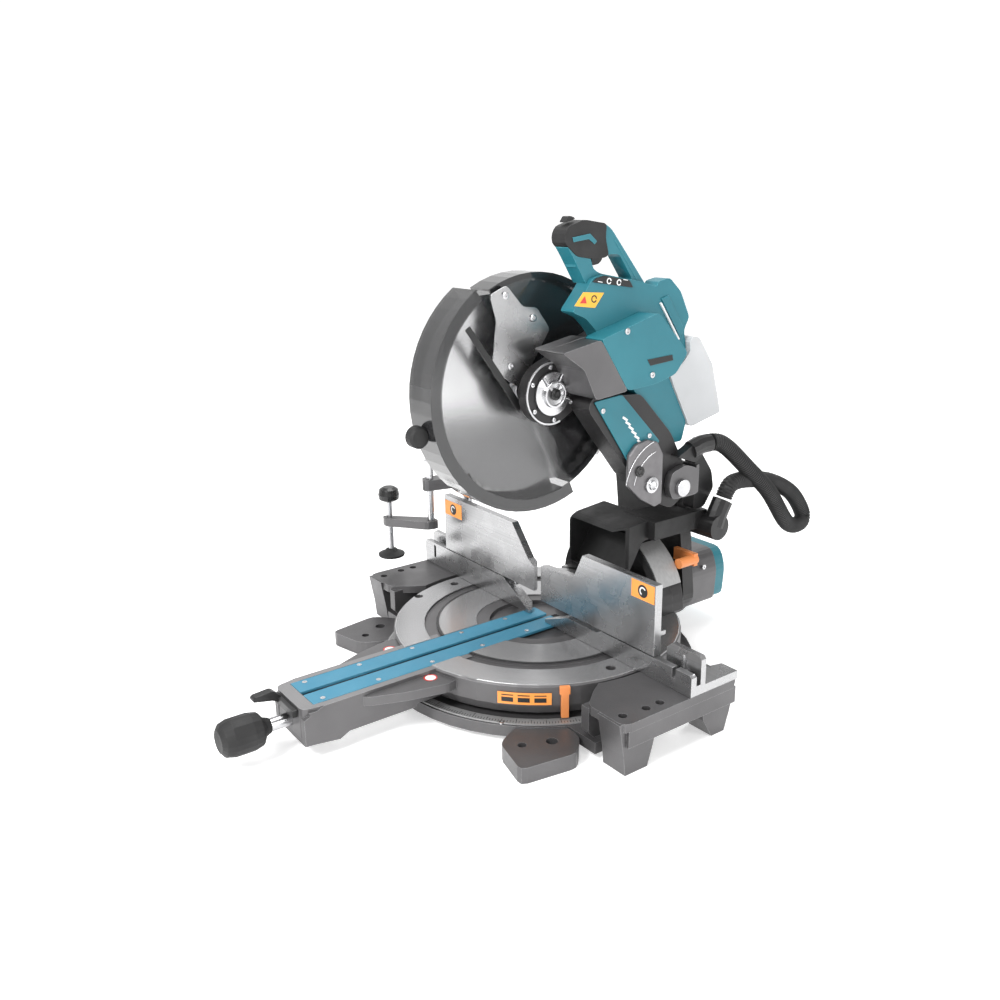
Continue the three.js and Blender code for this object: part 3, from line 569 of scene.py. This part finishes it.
# turned disc with a stepped rim
def turnedCap(name, centre, axis, radius, height, step=0.7, lip=0.3, sides=40):
    bpy.ops.mesh.primitive_cylinder_add(vertices=sides, radius=mm(radius), depth=mm(height),
                                        location=(0, 0, mm(height) / 2))
    piece = bpy.context.object
    piece.name = name
    settle(piece)
    topFace(piece)
    bpy.ops.mesh.inset(thickness=mm(radius * (1 - step)))
    bpy.ops.mesh.extrude_region_move(TRANSFORM_OT_translate={"value": (0, 0, mm(height * lip))})
    bpy.ops.mesh.inset(thickness=mm(radius * 0.12))
    bpy.ops.mesh.extrude_region_move(TRANSFORM_OT_translate={"value": (0, 0, -mm(height * lip * 0.5))})
    bpy.ops.object.mode_set(mode="OBJECT")
    roundEdges(piece, min(0.6, height * 0.2))
    bpy.ops.object.shade_smooth_by_angle(angle=math.radians(35))
    piece.rotation_euler = turnTo[axis]
    piece.location = centre
    return settle(piece)


def joinAll(name, pieces):
    bpy.ops.object.select_all(action="DESELECT")
    for piece in pieces:
        piece.select_set(True)
    bpy.context.view_layer.objects.active = pieces[0]
    bpy.ops.object.join()
    whole = bpy.context.object
    whole.name = name
    return whole


def ring(u, v, radius, count=32, start=0.0, stop=360.0):
    step = (stop - start) / (count if stop - start > 359 else count - 1)
    return [(u + radius * math.cos(math.radians(start + i * step)),
             v + radius * math.sin(math.radians(start + i * step))) for i in range(count)]


def arcBand(u, v, outer, inner, start, stop, count=24):
    return ring(u, v, outer, count, start, stop) + ring(u, v, inner, count, start, stop)[::-1]


# screws
screws = [
    ("motorScrewUpper", "head", (118, 62, 440), "x", 4.2, 1.8),
    ("motorScrewLower", "head", (118, 111, 376), "x", 4.2, 1.8),
    ("armScrewUpper", "head", (99, 38, 332), "x", 3.6, 1.6),
    ("armScrewRear", "head", (99, 128, 284), "x", 3.6, 1.6),
    ("armScrewLower", "head", (99, 94, 258), "x", 3.6, 1.6),
    ("plateScrewFront", "head", (29, -74, 490), "x", 5, 2.2),
    ("plateScrewRear", "head", (29, -28, 457), "x", 5, 2.2),
    ("plateScrewLow", "head", (29, -66, 396), "x", 5, 2.2),
    ("housingScrewRear", "bevel_arm", (62, 300, 30), "x", 4, 1.6),
    ("ringScrewRight", "base", (150, -177, -49.6), "z", 4, 2),
    ("ringScrewLeft", "base", (-150, -177, -49.6), "z", 4, 2),
]


def makeScrews():
    for name, body, place, axis, radius, height in screws:
        leaveWith(capScrew(name, at(*place), axis, radius, height), body, finishes["steel"])


makeScrews()


# guard side: link bar, spindle cover and lock fingers
guardSide = {"coverRadius": 30, "plugRadius": 8, "boltRing": 37, "face": 57}


def makeGuardSide():
    bar = cutSheet("guardLinkBar", "x", [(-140, 450), (-133, 455), (-52, 345), (-50, 336),
        (-58, 335)], 30.2, 33, 0.6)
    leaveWith(bar, "head", finishes["black"])
    cover = turnedCap("spindleCover", at(56.8, spindle["y"], spindle["z"]), "x", guardSide["coverRadius"],
        5, step=0.62, lip=1.2)
    leaveWith(cover, "head", finishes["steel"])
    plug = turnedCap("spindlePlug", at(63, spindle["y"], spindle["z"]), "x", guardSide["plugRadius"], 5,
        step=0.6, lip=0.8, sides=24)
    leaveWith(plug, "head", finishes["black"])
    for i, angle in enumerate((35, 95, 155, 215, 275, 335)):
        place = at(guardSide["face"], spindle["y"] + guardSide["boltRing"] * math.cos(math.radians(angle)),
                   spindle["z"] + guardSide["boltRing"] * math.sin(math.radians(angle)))
        leaveWith(capScrew(f"coverScrew{i}", place, "x", 3.2, 2.4), "head", finishes["steel"])
    for i, (reach, lean) in enumerate(((34, 20), (30, 62), (26, 128), (22, 340))):
        c, s = math.cos(math.radians(lean)), math.sin(math.radians(lean))
        u, v = spindle["y"] + 6 * c, spindle["z"] + 6 * s
        strip = [(u - 2.2 * s, v + 2.2 * c), (u + reach * c - 1.2 * s, v + reach * s + 1.2 * c),
                 (u + reach * c + 1.2 * s, v + reach * s - 1.2 * c), (u + 2.2 * s, v - 2.2 * c)]
        leaveWith(cutSheet(f"lockFinger{i}", "x", strip, 63.2, 66, 0.6), "head", finishes["steel"])
    rim = cutSheet("driveCoverRim", "x", arcBand(spindle["y"], spindle["z"], 43.6, 41.2, 60, 290, 40),
        56.7, 58.4, 0.3)
    leaveWith(rim, "head", finishes["steel"])


makeGuardSide()


# labels: thin sheets with plain marks
def makeLabels():
    sticker = cutSheet("headLabel", "x", [(-1, 475), (35, 470), (51, 489), (14, 492)], 83.1, 83.6, 0.1)
    leaveWith(sticker, "head", extras["yellow"])
    sign = cutSheet("headLabelMark", "x", arcBand(33, 482, 5, 3.4, 0, 330, 16), 83.65, 83.9)
    leaveWith(sign, "head", extras["ink"])
    mark = cutSheet("headLabelTriangle", "x", [(8, 478), (20, 477), (17, 487)], 83.65, 83.9)
    leaveWith(mark, "head", extras["red"])
    vent = cutSheet("motorVent", "x", [(101, 398), (107, 389), (151, 392), (149, 400)], 118.1, 118.8, 0.2)
    leaveWith(vent, "head", finishes["black"])
    panelDots = []
    for i, y in enumerate((58, 76)):
        panelDots.append(cutSheet(f"panelRing{i}", "x",
            arcBand(y, 504 - (y - 58) * 0.16, 4.2, 2.7, 0, 330, 20), 85.1, 85.5))
    for i, y in enumerate((42, 88)):
        panelDots.append(cutSheet(f"panelDash{i}", "x",
            [(y - 4, 504), (y + 4, 502.6), (y + 4, 503.6), (y - 4, 505)], 85.1, 85.4))
    leaveWith(joinAll("panelMarks", panelDots), "head", extras["white"])
    stripes = []
    for i in range(6):
        along = 0.24 + i * 0.085
        y, z = 58 + 66 * along * 1.05, 338 - 84 * along * 1.05
        stripes.append(cutSheet(f"armStripe{i}", "x",
            [(y, z), (y + 9, z - 6), (y + 11, z - 3.4), (y + 2, z + 2.6)], 99.1, 99.5))
    leaveWith(joinAll("armStripes", stripes), "head", extras["white"])


makeLabels()
print("head details made")


# handle: inlay in the grip, the seam of the rear post, the rear panel and a painted highlight strip along
# its edge
def makeHandleParts():
    inlay = cutSheet("gripInlay", "x", [(0, 562), (30, 566), (42, 556), (38, 552), (28, 559),
        (2, 556)], 77, 78, 0.4)
    leaveWith(inlay, "head", finishes["teal"])
    seam = cutSheet("postSeam", "x", [(74, 556), (76, 557), (138, 478), (136, 477)], 75.8, 76.7, 0.3)
    leaveWith(seam, "head", finishes["teal"])
    lens = cutSheet("rearPanel", "x", [(158, 474), (172, 478), (206, 428), (198, 416)], 83.1, 85.6, 1.0)
    leaveWith(lens, "head", finishes["teal"])
    # painted highlight: a thin white strip standing in for the light caught along the rear panel's ridge
    edge = cutSheet("rearPanelHighlightStrip", "x", [(155, 468), (157.5, 469), (197, 414), (194.5, 413)],
        83.1, 86.4, 0.5)
    leaveWith(edge, "head", extras["white"])


makeHandleParts()


# pivot cheek beside the arm
cheek = {"outline": [(84, 216), (84, 262), (98, 276), (120, 280), (140, 274), (152, 254), (152, 180),
    (138, 176), (110, 192)],
         "near": 96.8, "far": 106}


def makeCheek():
    body = cutSheet("pivotCheek", "x", cheek["outline"], cheek["near"] + 2.4, cheek["far"], 2.0)
    leaveWith(body, "head", extras["gear"])
    for i, radius in enumerate((58, 74)):
        line = cutSheet(f"cheekRidge{i}", "x", arcBand(150, 205, radius, radius - 1.4, 105, 168, 24),
            cheek["far"], cheek["far"] + 0.9, 0.2)
        leaveWith(line, "head", finishes["steel"])
    leaveWith(turnedCap("cheekBoss", at(cheek["far"], 128, 212), "x", 12, 4, step=0.6, lip=0.8,
        sides=28), "head",
              finishes["steel"])
    leaveWith(turnedCap("cheekStop", at(cheek["far"], 104, 236), "x", 8, 3, step=0.6, lip=0.8,
        sides=24), "head",
              finishes["dark_cast"])


makeCheek()


# table: board screws, scale marks, arm discs
def makeTableParts():
    for side in (-1, 1):
        for i, y in enumerate((-372, -290, -205, -120, -40, 8)):
            screw = capScrew(f"boardScrew{'LR'[side > 0]}{i}", at(side * 27, y, -0.6), "z", 3.4, 0.5)
            leaveWith(screw, "turntable", finishes["steel"])
        ringMark = cutSheet(f"armDiscRing{'LR'[side > 0]}", "z",
            arcBand(side * 55, -226, 9.5, 7.6, 0, 345, 28), -6.9, -6.5)
        leaveWith(ringMark, "turntable", extras["red"])
        disc = cutSheet(f"armDisc{'LR'[side > 0]}", "z", ring(side * 55, -226, 7.4, 28), -6.95, -6.6)
        leaveWith(disc, "turntable", extras["white"])
    marks = []
    for degree in range(-60, 67):
        a = math.radians(degree - 90)
        long = degree % 15 == 0
        inner, outer, half = (221 if long else 224 if degree % 5 == 0 else 227), 232, 0.35
        c, s = math.cos(a), math.sin(a)
        corners = [(inner * c - half * s, inner * s + half * c),
            (outer * c - half * s, outer * s + half * c),
                   (outer * c + half * s, outer * s - half * c),
                   (inner * c + half * s, inner * s - half * c)]
        marks.append(cutSheet(f"mitreMark{degree + 90}", "z", corners, -47.5, -47.3))
    leaveWith(joinAll("mitreMarks", marks), "base", extras["ink"])


makeTableParts()


# orange labels with plain dark marks, on the fences and on the turntable's rim
def makeOrangeLabels():
    for name, left, right in (("fence_left", -250, -201), ("fence_right", 203, 246)):
        outline = [(left, 104), (right, 104), (right, 129), (left, 129)]
        leaveWith(cutSheet(f"{name}Label", "y", outline, 1.1, 0.8, 0.08), name, extras["label"])
        middle = (left + right) / 2
        leaveWith(cutSheet(f"{name}LabelDisc", "y", ring(middle, 116.5, 9, 28), 0.78, 0.6),
            name, extras["ink"])
        leaveWith(cutSheet(f"{name}LabelMark", "y", arcBand(middle, 116.5, 6, 4, 30, 250, 16),
            0.58, 0.45), name,
                  extras["white"])
    rim = cutSheet("rimLabel", "z", arcBand(0, 0, 218.1, 217.3, -52, -33, 30), -28, -11)
    leaveWith(rim, "turntable", extras["label"])
    for i, start in enumerate((-50.6, -44.8, -39)):
        mark = cutSheet(f"rimLabelMark{i}", "z",
            arcBand(0, 0, 218.3, 217.9, start, start + 4.2, 10), -24.5, -18)
        leaveWith(mark, "turntable", extras["ink"])
        line = cutSheet(f"rimLabelLine{i}", "z",
            arcBand(0, 0, 218.3, 217.9, start, start + 4.2, 10), -15.5, -14)
        leaveWith(line, "turntable", extras["ink"])


makeOrangeLabels()
print("table details made")


# dust hose: ribbed, in two lengths split where its route turns back
hoseRoute = [
    (108.2, 249.4, 257.1), (110, 266, 254), (112, 288, 240), (116, 326, 206), (118, 380, 158),
    (112, 440, 92),
    (104, 484, 78), (98, 500, 92), (100, 462, 136), (104, 400, 168), (106, 340, 182), (109, 304, 184),
    (110, 290, 176), (110, 282.6, 163)]
hose = {"radius": 13.4, "ribDepth": 1.5, "ribEvery": 4.2, "sides": 28}


def smoothRoute(points, step):
    # evenly spaced points on a curve through the route
    dense = []
    for i in range(len(points) - 1):
        p = [Vector(points[max(0, min(len(points) - 1, i + k))]) for k in (-1, 0, 1, 2)]
        for n in range(24):
            t = n / 24
            square, cube = t * t, t * t * t
            dense.append(0.5 * ((2 * p[1]) + (p[2] - p[0]) * t
                                + (2 * p[0] - 5 * p[1] + 4 * p[2] - p[3]) * square
                                + (3 * p[1] - p[0] - 3 * p[2] + p[3]) * cube))
    dense.append(Vector(points[-1]))
    even, left = [dense[0]], step
    for a, b in zip(dense, dense[1:]):
        while (b - a).length >= left:
            a = a + (b - a).normalized() * left
            even.append(a)
            left = step
        left -= (b - a).length
    return even


def makeHose(name, points):
    sides, rings = hose["sides"], len(points)
    bpy.ops.mesh.primitive_grid_add(x_subdivisions=sides, y_subdivisions=rings - 1, size=1)
    piece = bpy.context.object
    piece.name = name
    lift = Vector((1, 0, 0))
    for i, point in enumerate(points):
        ahead = (points[min(i + 1, rings - 1)] - points[max(i - 1, 0)]).normalized()
        lift = (lift - ahead * lift.dot(ahead)).normalized()
        across = ahead.cross(lift)
        radius = hose["radius"] - (hose["ribDepth"] if i % 2 else 0)
        for k in range(sides + 1):
            angle = 2 * math.pi * k / sides
            spot = point + (lift * math.cos(angle) + across * math.sin(angle)) * radius
            piece.data.vertices[i * (sides + 1) + k].co = at(*spot)
    bpy.ops.object.mode_set(mode="EDIT")
    bpy.ops.mesh.select_all(action="SELECT")
    bpy.ops.mesh.remove_doubles(threshold=0.00001)
    bpy.ops.mesh.select_all(action="DESELECT")
    bpy.ops.mesh.select_mode(type="EDGE")
    bpy.ops.mesh.select_non_manifold()
    bpy.ops.mesh.edge_face_add()
    bpy.ops.mesh.select_all(action="SELECT")
    bpy.ops.mesh.normals_make_consistent(inside=False)
    bpy.ops.object.mode_set(mode="OBJECT")
    bpy.ops.object.shade_smooth_by_angle(angle=math.radians(50))
    return piece


def layHose():
    points = smoothRoute(hoseRoute, hose["ribEvery"] / 2)
    turn = max(range(len(points)), key=lambda i: points[i].y)
    upper, lower = points[:turn + 1], points[turn:]
    for name, run, bodies, ends in (
            ("hoseFromHead", upper, ("head", "carriage"), (at(109, 256, 240), at(104, 470, 90))),
            ("hoseToElbow", lower, ("bevel_arm", "carriage"), (at(109, 300, 182), at(98, 480, 120)))):
        piece = makeHose(name, run)
        paint(piece, finishes["black_rubber"])
        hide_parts("dust_hose")
        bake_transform(piece)
        bpy.ops.object.select_all(action="DESELECT")


layHose()


# floor, backdrop and lights
def makeStudio():
    bpy.ops.mesh.primitive_plane_add(size=120, location=(0, 0, -0.0004))
    floor = bpy.context.object
    floor.name = "studioFloor"
    material, tree, shader = blank("paleFloor")
    grain = useEffect(tree, "grain", Scale=40, Spread=0.4)
    tree.links.new(blendColour(tree, grain.outputs["Patch"], (0.84, 0.84, 0.84), (0.88, 0.88, 0.88)),
                   shader.inputs["Base Color"])
    shader.inputs["Roughness"].default_value = 0.7
    shader.inputs["Specular IOR Level"].default_value = 0.2
    shader.inputs["Emission Color"].default_value = (1, 1, 1, 1)
    shader.inputs["Emission Strength"].default_value = 0.48
    paint(floor, material)
    world = bpy.data.worlds.new("studioAir")
    world.use_nodes = True
    air = world.node_tree
    place = addNode(air, "ShaderNodeTexCoord")
    facing = addNode(air, "ShaderNodeVectorMath", operation="DOT_PRODUCT")
    facing.inputs[1].default_value = (-0.81, 0.587, -0.2)
    air.links.new(place.outputs["Generated"], facing.inputs[0])
    air.links.new(band(air, facing.outputs["Value"], -0.3, 0.5, 0.45, 1.05),
        air.nodes["Background"].inputs["Strength"])
    air.nodes["Background"].inputs["Color"].default_value = (1, 1, 1, 1)
    bpy.context.scene.world = world
    lamps = [("keyLight", (0.5, -1.9, 2.0), 0.7, 60), ("fillLight", (2.6, 0.9, 1.1), 1.0, 26),
             ("topLight", (-0.5, 0.5, 2.6), 1.4, 40), ("stripLight", (1.7, -1.9, 0.7), 0.5, 14)]
    for name, place, size, power in lamps:
        bpy.ops.object.light_add(type="AREA", location=place)
        lamp = bpy.context.object
        lamp.name = name
        lamp.data.size = size
        lamp.data.energy = power
        lamp.rotation_euler = (Vector((0, 0, 0.25)) - Vector(place)).to_track_quat("-Z", "Y").to_euler()
    bpy.context.scene.view_settings.view_transform = "Standard"


makeStudio()
print("studio ready")
